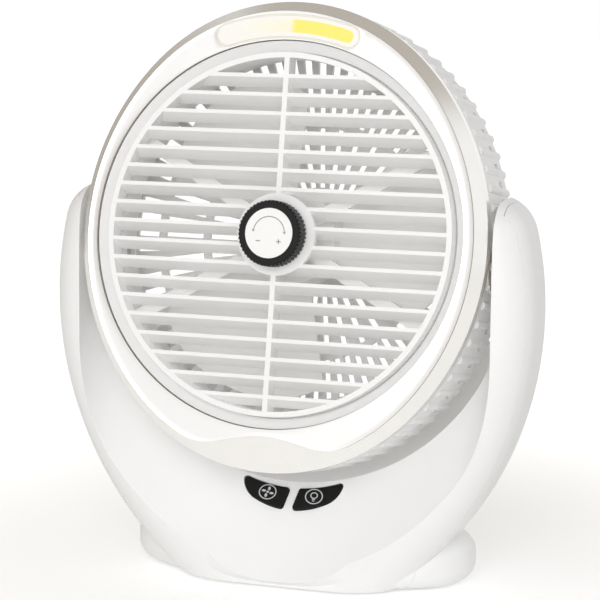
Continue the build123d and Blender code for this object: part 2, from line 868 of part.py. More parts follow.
# Head: housing with the ribbed rim, the cone, the throat, pivot bosses and screw bosses
grille_bosses = [(x * grille_boss_across, y * grille_boss_rise) for x in (-1, 1) for y in (-1, 1)]
tooth_line = head_oval(housing_half_width - tooth_sink).face().outer_wire()
tooth_places = [
    (point.X, oval_centre + point.Y)
    for point in tooth_line.positions([index / tooth_count for index in range(tooth_count)])
]
with BuildPart() as head_housing:
    with BuildSketch(head_plane.offset(bezel_rear - seam_gap)):
        with Locations((0, oval_centre)):
            add(head_oval(housing_half_width))
            add(head_oval(housing_half_width - housing_wall), mode=Mode.SUBTRACT)
    extrude(amount=housing_rear - bezel_rear + seam_gap)
    with BuildSketch(head_plane.offset(rib_front)):
        with Locations(*tooth_places):
            Circle(tooth_radius)
    extrude(amount=housing_rear - rib_front)
    with BuildSketch(head_plane.offset(flange_front)):
        with Locations((0, oval_centre)):
            add(head_oval(bezel_half_width - bezel_wall - seam_gap))
    extrude(amount=bezel_rear - seam_gap - flange_front - housing_wall)
    with BuildSketch(head_plane.offset(flange_front)):
        Circle(throat_radius)
    extrude(amount=-overrun, both=True, mode=Mode.SUBTRACT)
    with BuildSketch(head_profile_plane):
        with BuildLine():
            Polyline(
                (cone_outer_radius, cone_front),
                (throat_radius, cone_rear),
                (throat_radius, housing_rear),
                (throat_radius + throat_wall, housing_rear),
                (throat_radius + throat_wall, cone_rear - throat_wall),
                (cone_outer_radius, cone_front - throat_wall),
                close=True,
            )
        make_face()
    revolve(axis=head_axis)
    for side in (-1, 1):
        with BuildSketch(pivot_plane.offset(side * bush_inner)):
            Circle(trunnion_radius)
        extrude(amount=side * (bush_outer - bush_inner))
    with BuildSketch(head_plane.offset(bezel_rear - seam_gap)):
        with Locations(*grille_bosses):
            Circle(grille_boss_radius)
    extrude(amount=grille_rim_rear + grille_plate - bezel_rear + seam_gap)
    with BuildSketch(pivot_plane):
        Circle(bush_radius)
    extrude(amount=bezel_half_width + tooth_radius, both=True, mode=Mode.SUBTRACT)
    with BuildSketch(head_plane.offset(grille_rim_rear)):
        with Locations(*grille_bosses):
            Circle(small_screw_radius)
    extrude(amount=grille_screw_length, mode=Mode.SUBTRACT)
save(head_housing, "head_housing")


# Rear grille: toothed rim, slotted dome and the cup that holds the motor
grille_front = housing_rear - seam_gap
motor_cup_radius = motor_radius + seam_gap
cup_outer_radius = motor_cup_radius + motor_cup_wall

with BuildPart() as rear_grille:
    with BuildSketch(head_plane.offset(grille_front)):
        with Locations((0, oval_centre)):
            add(head_oval(housing_half_width))
        with Locations(*tooth_places):
            Circle(tooth_radius)
    extrude(amount=grille_rim_rear - grille_front)
    with BuildSketch(head_plane.offset(grille_front)):
        with Locations((0, oval_centre)):
            add(head_oval(housing_half_width - housing_wall))
    extrude(amount=grille_rim_rear + grille_plate - grille_front, mode=Mode.SUBTRACT)
    with BuildSketch(head_plane.offset(grille_rim_rear)):
        Circle(dome_radius)
    extrude(amount=overrun, mode=Mode.SUBTRACT)
    with BuildSketch(head_profile_plane):
        with BuildLine():
            Polyline(
                (dome_radius, grille_rim_rear + grille_plate),
                (dome_radius + grille_plate, grille_rim_rear + grille_plate),
                (dome_radius + grille_plate, grille_rim_rear),
                (dome_radius, grille_rim_rear),
                (dome_flat_radius, grille_rear),
                (0, grille_rear),
                (0, motor_rear),
                (motor_cup_radius, motor_rear),
                (motor_cup_radius, motor_cup_front),
                (cup_outer_radius, motor_cup_front),
                (cup_outer_radius, motor_rear),
                (dome_flat_radius, motor_rear),
                close=True,
            )
        make_face()
    revolve(axis=head_axis)
    with BuildSketch(head_plane.offset(grille_rear - overrun)):
        for zone, width in enumerate(slot_widths):
            inner = slot_ring_radii[2 * zone]
            outer = slot_ring_radii[2 * zone + 1]
            count = inner_slot_count if zone == 0 else slot_count
            with PolarLocations((inner + outer) / 2, count):
                Rectangle(outer - inner, width)
    extrude(amount=overrun + dome_depth + grille_plate, mode=Mode.SUBTRACT)
    with BuildSketch(head_plane.offset(grille_front - side_slot_margin)):
        with PolarLocations(housing_half_width, tooth_count, start_angle=180 / tooth_count):
            Rectangle(overrun, side_slot_width)
    side_slot_length = grille_front - side_slot_margin - grille_rim_rear - grille_plate - side_slot_margin
    extrude(amount=-side_slot_length, mode=Mode.SUBTRACT)
    with BuildSketch(head_plane.offset(grille_rim_rear)):
        with Locations(*grille_bosses):
            Circle(small_screw_radius)
    extrude(amount=grille_plate, mode=Mode.SUBTRACT)
save(rear_grille, "rear_grille")

with BuildPart() as grille_screws:
    with BuildSketch(head_plane.offset(grille_rim_rear)):
        with Locations(*grille_bosses):
            Circle(small_screw_head_radius)
    extrude(amount=-small_screw_head_height)
    with BuildSketch(head_plane.offset(grille_rim_rear)):
        with Locations(*grille_bosses):
            Circle(small_screw_radius)
    extrude(amount=grille_screw_length)
save(grille_screws, "grille_screws")

# Spider that stands fixed behind the louvre wheel, and the stud in its middle
with BuildPart() as louvre_spider:
    with BuildSketch(head_plane.offset(spider_front - spider_arm_setback)):
        for angle in (spider_arm_angle, -spider_arm_angle):
            Rectangle(2 * throat_radius, spider_arm_width, rotation=angle)
    extrude(amount=-spider_arm_thickness)
    with BuildSketch(head_plane.offset(spider_front - spider_arm_setback)):
        Circle(throat_radius - spider_ring_width)
    extrude(amount=-spider_arm_thickness, mode=Mode.INTERSECT)
    with BuildSketch(head_plane.offset(spider_front - spider_arm_setback)):
        Circle(throat_radius - running_fit)
        Circle(throat_radius - spider_ring_width - running_fit, mode=Mode.SUBTRACT)
    extrude(amount=-spider_ring_depth)
    with BuildSketch(head_plane.offset(spider_front)):
        Circle(spider_hub_radius)
    extrude(amount=-spider_hub_depth)
    with BuildSketch(head_plane.offset(spider_front)):
        Circle(stud_radius)
    extrude(amount=-spider_hub_depth, mode=Mode.SUBTRACT)
save(louvre_spider, "louvre_spider")

with BuildPart() as louvre_stud:
    with BuildSketch(head_plane.offset(spider_front - spider_hub_depth)):
        Circle(stud_radius)
    extrude(amount=stud_front - spider_front + spider_hub_depth)
save(louvre_stud, "louvre_stud")

# Louvre wheel: ring, slanted slats, one upright rib and the hub
top_slat_place = (slat_count - 1) * slat_pitch / 2 + slat_offset
slat_places = [top_slat_place - index * slat_pitch for index in range(slat_count)]
with BuildPart() as louvre_wheel:
    with BuildSketch(head_side_plane):
        for place in slat_places:
            with BuildLine():
                Polyline(
                    (place - slat_thickness / 2, -slat_setback),
                    (place + slat_thickness / 2, -slat_setback),
                    (place - slat_drop + slat_thickness / 2, -slat_setback - slat_run),
                    (place - slat_drop - slat_thickness / 2, -slat_setback - slat_run),
                    close=True,
                )
            make_face()
    extrude(amount=louvre_radius, both=True)
    with BuildSketch(head_plane):
        Circle(louvre_radius - louvre_ring_width / 2)
    extrude(amount=-louvre_depth, mode=Mode.INTERSECT)
    with BuildSketch(head_plane):
        Circle(louvre_radius)
        Circle(louvre_radius - louvre_ring_width, mode=Mode.SUBTRACT)
    extrude(amount=-louvre_depth)
    with BuildSketch(head_plane):
        Rectangle(rib_width, 2 * louvre_radius - louvre_ring_width)
    extrude(amount=-louvre_depth)
    with BuildSketch(head_plane):
        Circle(louvre_hub_radius)
    extrude(amount=-louvre_hub_plate)
    with BuildSketch(head_plane):
        Circle(louvre_sleeve_radius)
    extrude(amount=spider_front + body_gap)
    with BuildSketch(head_plane):
        Circle(stud_radius + running_fit)
    extrude(amount=-overrun, mode=Mode.SUBTRACT)
save(louvre_wheel, "louvre_wheel")

# Knob: knurled grip, white cap, threaded insert and washer
insert_front = knob_front - cap_thickness - seam_gap
with BuildPart() as knob_grip:
    with BuildSketch(head_plane.offset(knob_rear)):
        Circle(knob_radius)
        with PolarLocations(knob_radius, knob_groove_count):
            Circle(knob_groove_radius, mode=Mode.SUBTRACT)
    extrude(amount=knob_front - knob_rear)
    with BuildSketch(head_profile_plane):
        with BuildLine():
            Polyline(
                (knob_radius - knob_edge, knob_front),
                (knob_radius, knob_front - knob_edge),
                (knob_radius + knob_edge, knob_front - knob_edge),
                (knob_radius + knob_edge, knob_front + knob_edge),
                (knob_radius - knob_edge, knob_front + knob_edge),
                close=True,
            )
        make_face()
    revolve(axis=head_axis, mode=Mode.SUBTRACT)
    with BuildSketch(head_plane.offset(knob_front)):
        Circle(cap_radius)
    extrude(amount=-cap_thickness, mode=Mode.SUBTRACT)
    with BuildSketch(head_plane.offset(knob_rear)):
        Circle(insert_radius)
    extrude(amount=insert_front - knob_rear, mode=Mode.SUBTRACT)
save(knob_grip, "knob_grip")

with BuildPart() as knob_cap:
    with BuildSketch(head_plane.offset(knob_front)):
        Circle(cap_radius - running_fit)
    extrude(amount=-cap_thickness)
save(knob_cap, "knob_cap")

with BuildPart() as knob_insert:
    with BuildSketch(head_plane.offset(knob_rear)):
        Circle(insert_radius)
        Circle(stud_radius + running_fit, mode=Mode.SUBTRACT)
    extrude(amount=insert_front - knob_rear)
save(knob_insert, "knob_insert")

with BuildPart() as knob_washer:
    with BuildSketch(head_plane.offset(knob_rear)):
        Circle(knob_washer_radius)
        Circle(stud_radius + body_gap, mode=Mode.SUBTRACT)
    extrude(amount=-knob_washer_thickness)
save(knob_washer, "knob_washer")

# Blade wheel: a cup-shaped hub with three screw-shaped blades


def blade_section(share, reach_share, start_angle):
    """Radial slice of a blade, at a share of its sweep."""
    angle = start_angle + share * blade_half_sweep
    depth = blade_front - blade_rise * (share + 1) / 2
    outward = Vector(cos(radians(angle)), sin(radians(angle)), 0)
    across = head_plane.from_local_coords(outward) - head_plane.origin
    slice_plane = Plane(origin=louvre_centre, x_dir=across, z_dir=across.cross(facing))
    reach = blade_tip_radius * reach_share
    with BuildSketch(slice_plane) as section:
        with Locations(((blade_root_radius + reach) / 2, depth)):
            Rectangle(reach - blade_root_radius, blade_thickness)
    return section.sketch


with BuildPart() as blade_wheel:
    for blade in range(blade_count):
        start_angle = blade_first_angle + 360 * blade / blade_count
        sections = [
            blade_section(share, reach_share, start_angle)
            for share, reach_share in zip(blade_sweep_shares, blade_reach_shares)
        ]
        loft([section.face() for section in sections])
    with BuildSketch(head_plane.offset(rotor_hub_front)):
        Circle(rotor_hub_radius)
    extrude(amount=-rotor_hub_depth)
    with BuildSketch(head_plane.offset(rotor_hub_front - rotor_hub_wall)):
        Circle(rotor_hub_radius - rotor_hub_wall)
    extrude(amount=-rotor_hub_depth - overrun, mode=Mode.SUBTRACT)
    with BuildSketch(head_plane.offset(rotor_hub_front)):
        Circle(rotor_sleeve_radius)
    extrude(amount=-rotor_sleeve_depth)
    with BuildSketch(head_plane.offset(rotor_hub_front - rotor_hub_wall)):
        Circle(shaft_radius)
    extrude(amount=-rotor_sleeve_depth, mode=Mode.SUBTRACT)
save(blade_wheel, "blade_wheel")

with BuildPart() as motor_shaft:
    with BuildSketch(head_plane.offset(rotor_hub_front - rotor_hub_wall)):
        Circle(shaft_radius)
    extrude(amount=shaft_rear - rotor_hub_front + rotor_hub_wall)
save(motor_shaft, "motor_shaft")

# Motor, in the cup of the rear grille
with BuildPart() as motor_can:
    with BuildSketch(head_plane.offset(motor_front)):
        Circle(motor_radius)
    extrude(amount=motor_rear - motor_front)
    with BuildSketch(head_plane.offset(motor_front)):
        Circle(shaft_radius + running_fit)
    extrude(amount=shaft_rear - motor_front - body_gap, mode=Mode.SUBTRACT)
save(motor_can, "motor_can")

with BuildPart() as motor_bearing:
    with BuildSketch(head_plane.offset(motor_front)):
        Circle(bearing_radius)
        Circle(shaft_radius + running_fit, mode=Mode.SUBTRACT)
    extrude(amount=bearing_height)
save(motor_bearing, "motor_bearing")
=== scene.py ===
# %% [markdown]
# A rechargeable desk fan, dressed for the studio.
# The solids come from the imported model. This script gives each of them the finish of the real
# material, adds the small pieces that are too fine for the solids, and sets up the studio.

import json
from math import cos, pi, radians, sin

import bmesh
import bpy
from mathutils import Matrix, Vector

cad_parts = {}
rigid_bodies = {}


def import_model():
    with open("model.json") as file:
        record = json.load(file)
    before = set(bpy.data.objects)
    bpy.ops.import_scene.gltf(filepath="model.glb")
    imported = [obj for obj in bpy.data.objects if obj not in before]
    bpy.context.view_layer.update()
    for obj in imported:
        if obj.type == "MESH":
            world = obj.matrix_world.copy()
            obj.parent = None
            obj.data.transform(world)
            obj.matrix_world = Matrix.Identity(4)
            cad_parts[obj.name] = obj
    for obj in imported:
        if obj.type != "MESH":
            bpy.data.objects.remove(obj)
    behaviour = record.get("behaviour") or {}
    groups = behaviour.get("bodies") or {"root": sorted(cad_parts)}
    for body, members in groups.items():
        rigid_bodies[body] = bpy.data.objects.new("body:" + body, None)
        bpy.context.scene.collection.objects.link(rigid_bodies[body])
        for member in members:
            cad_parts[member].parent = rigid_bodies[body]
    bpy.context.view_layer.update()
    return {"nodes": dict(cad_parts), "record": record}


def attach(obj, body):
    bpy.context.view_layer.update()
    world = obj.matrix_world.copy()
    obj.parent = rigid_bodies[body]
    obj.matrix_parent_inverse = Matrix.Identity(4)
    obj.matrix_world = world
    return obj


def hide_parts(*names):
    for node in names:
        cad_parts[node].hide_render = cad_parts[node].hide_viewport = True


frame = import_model()

# %% [markdown]
# Blender works in metres, while a maker thinks in millimetres, so one small factor turns one into
# the other. The head leans back by the rest tilt. Two matrices place drawings: one on the face of
# the louvre wheel, one on the sloping console that carries the buttons.

# %% Frames to draw in
mm = 0.001
rest_tilt = radians(10.8)
across = Vector((1, 0, 0))
facing = Vector((0, -cos(rest_tilt), sin(rest_tilt)))
rising = Vector((0, sin(rest_tilt), cos(rest_tilt)))
pivot = Vector((0, -10.0, 140.0)) * mm
louvre_lead = 23.0 * mm
louvre_rise = 10.8 * mm
louvre_centre = pivot + facing * louvre_lead + rising * louvre_rise
up_slope = Vector((0, 30.0, 51.0)).normalized()
console_normal = across.cross(up_slope)
scoop_lip = Vector((0, -11.0, 41.0)) * mm
button_drop = 4.8 * mm
console_middle = scoop_lip - up_slope * button_drop


def placing(x_axis, y_axis, z_axis, origin):
    """Matrix that takes a drawing in x and y to a place on the object."""
    matrix = Matrix((x_axis, y_axis, z_axis)).transposed().to_4x4()
    matrix.translation = origin
    return matrix


on_head = placing(across, rising, facing, louvre_centre)
on_console = placing(across, up_slope, console_normal, console_middle)
print("louvre wheel's middle, mm:", [round(c / mm, 1) for c in louvre_centre])

# %% [markdown]
# Colours are written as the eye meets them, in sRGB hex, and the renderer wants them linear.
# One function does that, and one more adds a node with its settings and links.

# %% Colour and node helpers


def linear(hex_colour):
    """Linear colour of an sRGB hex value."""
    parts = [int(hex_colour[i : i + 2], 16) / 255 for i in (1, 3, 5)]
    return [c / 12.92 if c <= 0.04045 else ((c + 0.055) / 1.055) ** 2.4 for c in parts] + [1.0]


def add_node(tree, kind, settings=None, links=None):
    """Add a node; settings are properties or input values, links go from sockets to inputs."""
    node = tree.nodes.new(kind)
    for key, value in (settings or {}).items():
        if isinstance(key, str) and hasattr(node, key) and key not in node.inputs:
            setattr(node, key, value)
        else:
            node.inputs[key].default_value = value
    for key, socket in (links or {}).items():
        tree.links.new(socket, node.inputs[key])
    return node


def new_material(name, **shader):
    """Empty node material with a Principled shader; returns it with its tree and shader."""
    material = bpy.data.materials.new(name)
    material.use_nodes = True
    tree = material.node_tree
    surface = tree.nodes["Principled BSDF"]
    for key, value in shader.items():
        surface.inputs[key.replace("_", " ")].default_value = value
    return material, tree, surface


print("linear value of a middle grey:", round(linear("#808080")[0], 3))

# %% [markdown]
# Most of the fan is injection-moulded plastic. A mould is spark-eroded to a fine grain, so the
# skin is never quite smooth: it carries a soft bump of a few tenths of a millimetre, and its gloss
# wanders a little from place to place. The same recipe serves every plastic, with its own colour,
# gloss and grain.

# %% Moulded plastics
tint_patch_mm = 28
grain_height_mm = 0.05
plastic_ior = 1.54
gloss_drift = 0.05


def moulded_plastic(name, colour, shade, roughness, grain_mm, grain_depth, **shader):
    """Plastic with a wandering tint, a wandering gloss and the mould's grain."""
    material, tree, surface = new_material(name, IOR=plastic_ior, **shader)
    place = add_node(tree, "ShaderNodeTexCoord").outputs["Object"]
    drift = add_node(
        tree, "ShaderNodeTexNoise", {"Scale": 1 / (tint_patch_mm * mm), "Detail": 2.0}, {"Vector": place}
    )
    tint = add_node(tree, "ShaderNodeMix", {"data_type": "RGBA"}, {"Factor": drift.outputs["Fac"]})
    tint.inputs[6].default_value = linear(colour)
    tint.inputs[7].default_value = linear(shade)
    gloss = add_node(
        tree,
        "ShaderNodeMapRange",
        {"To Min": roughness - gloss_drift, "To Max": roughness + gloss_drift},
        {"Value": drift.outputs["Fac"]},
    )
    grain = add_node(
        tree, "ShaderNodeTexNoise", {"Scale": 1 / (grain_mm * mm), "Detail": 1.0}, {"Vector": place}
    )
    bump = add_node(
        tree,
        "ShaderNodeBump",
        {"Strength": grain_depth, "Distance": grain_height_mm * mm},
        {"Height": grain.outputs["Fac"]},
    )
    tree.links.new(tint.outputs[2], surface.inputs["Base Color"])
    tree.links.new(gloss.outputs["Result"], surface.inputs["Roughness"])
    tree.links.new(bump.outputs["Normal"], surface.inputs["Normal"])
    return material


white_shell = moulded_plastic("white_abs_moulded", "#F6F6F6", "#F3F3F3", 0.42, 0.6, 0.25)
white_slat = moulded_plastic("white_abs_polished", "#F8F8F8", "#F5F5F4", 0.34, 0.8, 0.12)
white_blade = moulded_plastic("white_polypropylene", "#F8F8F7", "#F4F4F3", 0.46, 0.7, 0.2)
natural_nylon = moulded_plastic("natural_nylon", "#E4E1D8", "#DAD6CB", 0.5, 0.8, 0.2)
dark_rubber = moulded_plastic("thermoplastic_rubber", "#2A2A2B", "#333333", 0.75, 0.5, 0.5)
switch_black = moulded_plastic("switch_nylon", "#1F1F21", "#262629", 0.5, 0.5, 0.2)

# The black pieces are mass-coloured and matt-eroded, so they mirror far less than polished ABS
black_cap = moulded_plastic(
    "black_abs_satin", "#131313", "#181818", 0.45, 0.5, 0.2, Specular_IOR_Level=0.12
)
black_grip = moulded_plastic(
    "black_abs_knurled", "#111111", "#171616", 0.4, 0.5, 0.25, Specular_IOR_Level=0.2
)
print("plastics:", len(bpy.data.materials))

# %% [markdown]
# The bezel is plastic with silver paint: fine aluminium flakes in a clear lacquer. To the eye it is
# mostly metal: it takes on the room, and still shades a little like paint. The face ring is sprayed
# with a paler, silkier silver, half paint and half metal. The walls of the ring get a grey that is
# painted shade: it draws the shadow line round the face. Screws, shafts and the socket are plain metals.

# %% Silver paint and plain metals
gloss_spread = 0.15


def metal(name, colour, shade, roughness, grain_mm, metallic=1.0):
    """Metal, or metal paint, whose gloss and tint wander with the grain of its finish."""
    material, tree, surface = new_material(name, Metallic=metallic)
    place = add_node(tree, "ShaderNodeTexCoord").outputs["Object"]
    drift = add_node(
        tree, "ShaderNodeTexNoise", {"Scale": 1 / (grain_mm * mm), "Detail": 3.0}, {"Vector": place}
    )
    tint = add_node(tree, "ShaderNodeMix", {"data_type": "RGBA"}, {"Factor": drift.outputs["Fac"]})
    tint.inputs[6].default_value = linear(colour)
    tint.inputs[7].default_value = linear(shade)
    gloss = add_node(
        tree,
        "ShaderNodeMapRange",
        {"To Min": roughness * (1 - gloss_spread), "To Max": roughness * (1 + gloss_spread)},
        {"Value": drift.outputs["Fac"]},
    )
    tree.links.new(tint.outputs[2], surface.inputs["Base Color"])
    tree.links.new(gloss.outputs["Result"], surface.inputs["Roughness"])
    return material


bezel_silver = metal("silver_paint", "#F7F6F4", "#F2F1EE", 0.24, 9.0, metallic=0.85)
face_silver = metal("pale_silver_paint", "#F6F6F5", "#F2F1F0", 0.3, 9.0, metallic=0.5)
# The grey of the ring's walls is painted shade, standing for the shadow line round the face.
painted_shade_wall = moulded_plastic("painted_shade_abs_wall", "#A89F95", "#9E958B", 0.5, 0.6, 0.2)
zinc_plate = metal("zinc_plated_steel", "#B9BABD", "#A3A5A9", 0.32, 1.5)
gold_plate = metal("gold_plated_bronze", "#E0B860", "#D2A84E", 0.25, 0.6)
can_steel = metal("plated_motor_steel", "#A8A9AC", "#96979B", 0.38, 4.0)
brass = metal("turned_brass", "#C9A45C", "#B48E48", 0.3, 1.2)
print("finishes with the metals:", len(bpy.data.materials))

# %% [markdown]
# Inside sit things nobody sees until the fan is opened: lacquered boards, film-wrapped cells and
# the phosphor strips of the lamp. They are simple, but each still gets its own finish.

# %% Boards, cells and phosphor
board_green = moulded_plastic("solder_lacquer_green", "#1F5A3A", "#27683F", 0.35, 1.2, 0.2)
board_white = moulded_plastic("solder_lacquer_white", "#E9E9E6", "#DFDFDB", 0.35, 1.2, 0.2)
cell_film = moulded_plastic("shrink_film_blue", "#3C6EA6", "#346297", 0.3, 2.0, 0.15)
phosphor_yellow = moulded_plastic("silicone_phosphor_yellow", "#F6E05A", "#EFD545", 0.5, 0.8, 0.2)
phosphor_white = moulded_plastic("silicone_phosphor_white", "#F4F1E4", "#ECE7D6", 0.5, 0.8, 0.2)
print("finishes with the inside:", len(bpy.data.materials))

# %% [markdown]
# The lamp's lens is frosted acrylic. The two phosphor strips behind it show as soft patches: the
# right one strongly yellow, the left one almost white. The patches are painted by place, in the
# head's own frame: the radius from the wheel's middle and the angle from straight up give a band
# with soft edges.

# %% Frosted lens
lens_line = 88.3
strip_end = 17.4
strip_start = -3.0
yellow_edge = (3.0, 2.5)
white_edge = (3.2, 2.2)
yellow_fade = (0.2, 2.2)
warm_fade = (-16.0, 1.0)


def frosted_lens():
    """Frosted acrylic with the glow of the strips behind it."""
    material, tree, surface = new_material(
        "frosted_acrylic", IOR=1.49, Roughness=0.22, Coat_Weight=0.3
    )
    place = add_node(tree, "ShaderNodeTexCoord").outputs["Object"]
    local = add_node(
        tree,
        "ShaderNodeVectorMath",
        {"operation": "SUBTRACT", 1: louvre_centre},
        {0: place},
    ).outputs["Vector"]
    rise = add_node(tree, "ShaderNodeVectorMath", {"operation": "DOT_PRODUCT", 1: rising}, {0: local})
    side = add_node(tree, "ShaderNodeVectorMath", {"operation": "DOT_PRODUCT", 1: across}, {0: local})
    height = rise.outputs["Value"]
    width = side.outputs["Value"]
    flat = add_node(tree, "ShaderNodeCombineXYZ", {}, {"X": width, "Y": height}).outputs["Vector"]
    angle = add_node(tree, "ShaderNodeMath", {"operation": "ARCTAN2"}, {0: width, 1: height}).outputs[0]

    def distance_to_strip(first, last):
        """Distance from the middle line of a strip between two angles, rounded at its ends."""
        span = {"Min": radians(first), "Max": radians(last)}
        near_angle = add_node(tree, "ShaderNodeClamp", span, {"Value": angle}).outputs["Result"]
        sine = add_node(tree, "ShaderNodeMath", {"operation": "SINE"}, {0: near_angle}).outputs[0]
        cosine = add_node(tree, "ShaderNodeMath", {"operation": "COSINE"}, {0: near_angle}).outputs[0]
        unit = add_node(tree, "ShaderNodeCombineXYZ", {}, {"X": sine, "Y": cosine}).outputs["Vector"]
        line = add_node(
            tree, "ShaderNodeVectorMath", {"operation": "SCALE", "Scale": lens_line * mm}, {0: unit}
        ).outputs["Vector"]
        return add_node(
            tree, "ShaderNodeVectorMath", {"operation": "DISTANCE"}, {0: flat, 1: line}
        ).outputs["Value"]

    def soft_step(value, ramp, unit):
        """Ramp from 0 at its start to 1 at its end, eased at both, in the given unit."""
        start, end = ramp
        return add_node(
            tree,
            "ShaderNodeMapRange",
            {"interpolation_type": "SMOOTHSTEP", "From Min": start * unit, "From Max": end * unit},
            {"Value": value},
        ).outputs["Result"]

    def both(first, second):
        """Where two ramps hold at once."""
        return add_node(tree, "ShaderNodeMath", {"operation": "MULTIPLY"}, {0: first, 1: second}).outputs[0]

    yellow_distance = distance_to_strip(strip_start, strip_end)
    white_distance = distance_to_strip(-strip_end, -strip_start)
    in_yellow = soft_step(yellow_distance, yellow_edge, mm)
    in_white = soft_step(white_distance, white_edge, mm)
    yellow_patch = both(in_yellow, soft_step(angle, yellow_fade, radians(1)))
    left_warmth = both(in_white, soft_step(angle, warm_fade, radians(1)))
    warm = add_node(tree, "ShaderNodeMix", {"data_type": "RGBA"}, {"Factor": left_warmth})
    warm.inputs[6].default_value = linear("#FBF9F3")
    warm.inputs[7].default_value = linear("#FCF8E0")
    colour = add_node(tree, "ShaderNodeMix", {"data_type": "RGBA"}, {"Factor": yellow_patch})
    tree.links.new(warm.outputs[2], colour.inputs[6])
    colour.inputs[7].default_value = linear("#FDF277")
    tree.links.new(colour.outputs[2], surface.inputs["Base Color"])
    return material


lens_acrylic = frosted_lens()
print("lens:", lens_acrylic.name, "nodes:", len(lens_acrylic.node_tree.nodes))

# %% [markdown]
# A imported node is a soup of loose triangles, which shades flat, and it carries its own stored
# normals, which no longer fit once corners are merged. A merged copy without them can carry smooth
# shading, with crisp edges where the faces meet at more than a set angle. Weighted normals let the
# large faces rule, so long thin triangles leave no streaks. The copy rides on the same body and
# stands for the node.

# %% Piece helpers
body_of_node = {
    node: body for body, nodes in frame["record"]["behaviour"]["bodies"].items() for node in nodes
}
print("nodes with a body:", len(body_of_node))
merge_reach = 0.002 * mm
sliver = 0.001 * mm
face_crease = 28


def add_piece(name, mesh, body):
    """Object with a mesh, in the scene and riding on a body."""
    piece = bpy.data.objects.new(name, mesh)
    bpy.context.scene.collection.objects.link(piece)
    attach(piece, body)
    return piece


def shade_smooth(mesh, crease):
    """Smooth faces, with a crisp edge where two meet at more than the crease, in degrees."""
    mesh.polygons.foreach_set("use_smooth", [True] * len(mesh.polygons))
    mesh.set_sharp_from_angle(angle=radians(crease))


def dress(node, material):
    """Merged, smooth-shaded copy of a node in its own finish."""
    mesh = frame["nodes"][node].data.copy()
    mesh.name = node + "_skin"
    if "custom_normal" in mesh.attributes:
        mesh.attributes.remove(mesh.attributes["custom_normal"])
    shape = bmesh.new()
    shape.from_mesh(mesh)
    bmesh.ops.remove_doubles(shape, verts=shape.verts, dist=merge_reach)
    bmesh.ops.dissolve_degenerate(shape, edges=shape.edges, dist=sliver)
    shape.to_mesh(mesh)
    shape.free()
    shade_smooth(mesh, face_crease)
    mesh.materials.clear()
    mesh.materials.append(material)
    skin = add_piece(node + "_skin", mesh, body_of_node[node])
    even = skin.modifiers.new("even_shading", "WEIGHTED_NORMAL")
    even.keep_sharp = True
    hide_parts(node)
    return skin


# %% [markdown]
# Each node then gets the finish of what it is made of. The screws are left out here, because they
# are made anew further down.

# %% Dress the solids
finishes = {
    "base_front_shell": white_shell,
    "base_rear_shell": white_shell,
    "bottom_plate": white_shell,
    "head_housing": white_shell,
    "rear_grille": white_shell,
    "louvre_spider": white_slat,
    "louvre_wheel": white_slat,
    "knob_cap": white_slat,
    "blade_wheel": white_blade,
    "fan_button": black_cap,
    "light_button": black_cap,
    "knob_grip": black_grip,
    "bezel": bezel_silver,
    "trim_ring": face_silver,
    "light_lens": lens_acrylic,
    "lamp_strip_yellow": phosphor_yellow,
    "lamp_strip_white": phosphor_white,
    "lamp_board": board_white,
    "control_board": board_green,
    "charge_board": board_green,
    "tact_switches": switch_black,
    "battery_cells": cell_film,
    "battery_cradle": natural_nylon,
    "tilt_washers": natural_nylon,
    "tilt_bushes": natural_nylon,
    "knob_washer": natural_nylon,
    "rubber_feet": dark_rubber,
    "pivot_pins": zinc_plate,
    "motor_shaft": zinc_plate,
    "charge_socket": zinc_plate,
    "motor_can": can_steel,
    "motor_bearing": brass,
    "louvre_stud": brass,
    "knob_insert": brass,
}
skins = {node: dress(node, material) for node, material in finishes.items()}
print("dressed nodes:", len(skins), "undressed:", sorted(set(frame["nodes"]) - set(skins)))

# %% [markdown]
# The face ring is a little dished: it sinks by four tenths of a millimetre from both of its edges,
# so it catches the light as a soft gradient. Three insets of its front, each a little deeper, do
# that. Its side walls, apart from the lamp's opening, get painted shade: a grey for the shadow line round
# the face.

# %% Dished face ring
opening_half_width = 33 * mm
opening_low = 83 * mm
opening_high = 93.4 * mm
dish_steps = ((0.7, 0.19), (0.7, 0.13), (0.75, 0.07))
faces_forward = 0.5
lies_flat = 0.999
ring_mesh = skins["trim_ring"].data
ring_mesh.materials.append(painted_shade_wall)
ring_shape = bmesh.new()
ring_shape.from_mesh(ring_mesh)
# Front faces and the lamp's opening keep the silver; the side walls get painted shade, a grey for the
# shadow line round the face.
for face in ring_shape.faces:
    middle_of_face = face.calc_center_median() - louvre_centre
    beside_lens = abs(middle_of_face.x) < opening_half_width
    in_opening = beside_lens and opening_low < middle_of_face.dot(rising) < opening_high
    painted = face.normal.dot(facing) > faces_forward or in_opening
    face.material_index = 0 if painted else 1
for width, sink in dish_steps:
    front = [face for face in ring_shape.faces if face.normal.dot(facing) > lies_flat]
    bmesh.ops.inset_region(ring_shape, faces=front, thickness=width * mm, depth=-sink * mm)
ring_shape.to_mesh(ring_mesh)
ring_shape.free()
ring_mesh.set_sharp_from_angle(angle=radians(face_crease))
print("ring faces:", len(ring_mesh.polygons))

# %% [markdown]
# A raised bead of clear acrylic closes the gap round the lamp's lens. Its section is a flat circle
# that is spun four times: along the outer arc about the wheel's axis, round the left end about the
# end's own middle, back along the inner arc, and round the right end, where it meets its start.

# %% Bead round the lens
lens_reach = 4.75
half_lens = radians(18)
bead_front = 0.45
bead_half_width = 0.5
bead_flatness = 0.6
section_sides = 10
arc_steps = 24
end_steps = 14
weld_reach = 0.01


def on_lens_line(angle):
    """Point on the lens's middle line, at an angle to the left from straight up."""
    return Vector((-lens_line * sin(angle), lens_line * cos(angle), bead_front))


